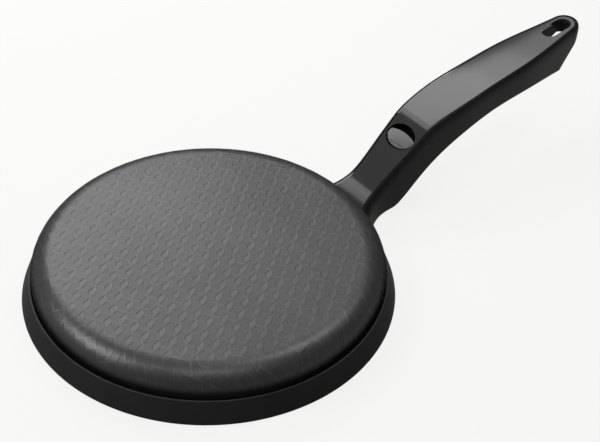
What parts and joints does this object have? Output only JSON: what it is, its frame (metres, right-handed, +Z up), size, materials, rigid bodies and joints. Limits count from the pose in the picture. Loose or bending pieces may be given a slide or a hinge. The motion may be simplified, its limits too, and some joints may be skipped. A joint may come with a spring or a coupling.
{
  "type": "electric crepe pan",
  "caption": "Electric crepe pan: a domed non-stick cooking plate with a low rhomb relief on a moulded ring, with a rising handle that holds a rocker switch and a hanging hole.",
  "frame": {"origin": "on the pan's axis, in the plane of the bottom cover that it stands on", "axes": "+X along the handle, away from the pan; +Z up, out of the cooking side"},
  "size_m": [0.4117, 0.2196, 0.0703],
  "materials": {
    "coated_aluminium": "dark grey non-stick coat, satin",
    "black_plastic": "black moulded plastic, satin",
    "inlay_plastic": "dark smooth plastic, semi-gloss",
    "grey_plastic": "dark grey moulded plastic, satin",
    "silicone": "matt silicone",
    "steel": "plain steel",
    "brass": "stamped brass",
    "felt": "mineral fibre felt",
    "ceramic": "unglazed ceramic",
    "brown_wire": "silicone insulated wire",
    "blue_wire": "silicone insulated wire",
    "green_wire": "silicone insulated wire"
  },
  "bodies": {
    "pan": {"cooking_plate": "coated_aluminium", "plate_seal": "silicone", "housing_ring": "black_plastic", "bottom_cover": "black_plastic", "heating_element": "steel", "element_clamp": "steel", "thermostat": "ceramic", "thermal_fuse": "ceramic", "insulation_pad": "felt", "earth_tag": "brass", "handle_body": "black_plastic", "handle_cover": "inlay_plastic", "coupler_socket": "grey_plastic", "contact_live": "brass", "contact_earth": "brass", "contact_neutral": "brass", "switch_body": "black_plastic", "switch_terminal_in": "brass", "switch_terminal_out": "brass", "cover_screw_1": "steel", "cover_screw_2": "steel", "cover_screw_3": "steel", "cover_screw_4": "steel", "plate_screw_1": "steel", "plate_screw_2": "steel", "plate_screw_3": "steel", "plate_screw_4": "steel", "clamp_screw_1": "steel", "clamp_screw_2": "steel", "clamp_screw_3": "steel", "thermostat_screw_1": "steel", "thermostat_screw_2": "steel", "earth_screw": "steel", "handle_screw_1": "steel", "handle_screw_2": "steel", "grip_screw_1": "steel", "grip_screw_2": "steel", "neutral_wire": "blue_wire", "earth_wire": "green_wire", "switched_wire": "brown_wire", "element_wire": "brown_wire", "live_wire": "brown_wire"},
    "rocker": {"rocker_button": "grey_plastic"}
  },
  "joints": [
    {"name": "rocker_hinge", "type": "hinge", "parent": "pan", "child": "rocker", "pos_m": [0.1508, 0, 0.0398], "axis": [0, -1, 0], "range_deg": [0, 14]}
  ]
}
